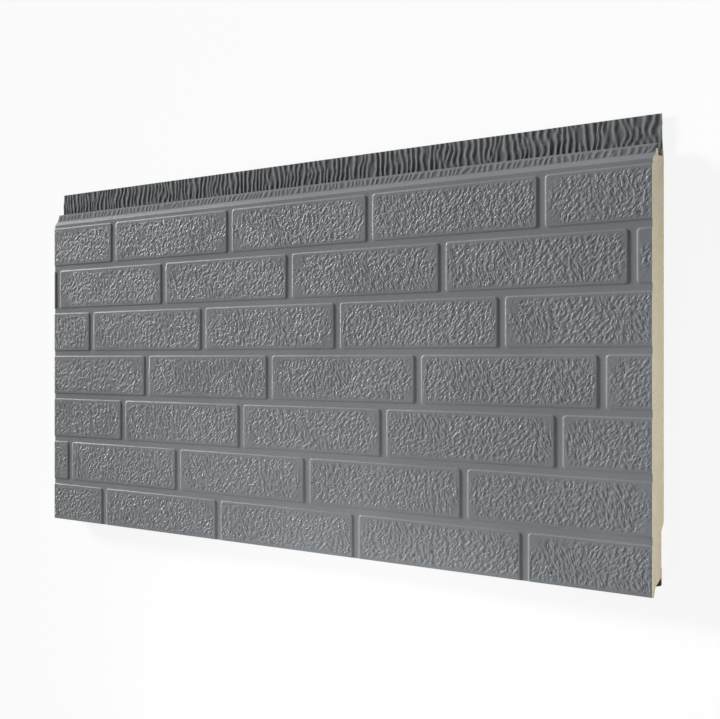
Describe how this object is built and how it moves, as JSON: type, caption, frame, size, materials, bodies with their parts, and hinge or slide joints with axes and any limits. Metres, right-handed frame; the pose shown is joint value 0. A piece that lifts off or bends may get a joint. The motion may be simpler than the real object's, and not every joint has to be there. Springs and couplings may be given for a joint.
{
  "type": "insulated metal siding panel",
  "caption": "Foam-backed painted steel wall panel pressed with a running brick pattern, with a fixing flange, groove and crest along the top and a lip and tongue along the bottom.",
  "frame": {"origin": "under the middle of the panel, on the plane that its back lies on", "axes": "+X along the brick courses, +Y up the panel from the lip to the fixing flange, +Z out of the brick faces"},
  "size_m": [1, 0.417, 0.016],
  "materials": {
    "painted_steel": "satin grey coil coating, pressed with a hammered grain",
    "rigid_foam": "cream rigid polyurethane foam, sawn at the ends",
    "foil_facing": "thin creased foil"
  },
  "bodies": {
    "root": {"face_sheet": "painted_steel", "foam_core": "rigid_foam", "back_foil": "foil_facing"}
  },
  "joints": []
}
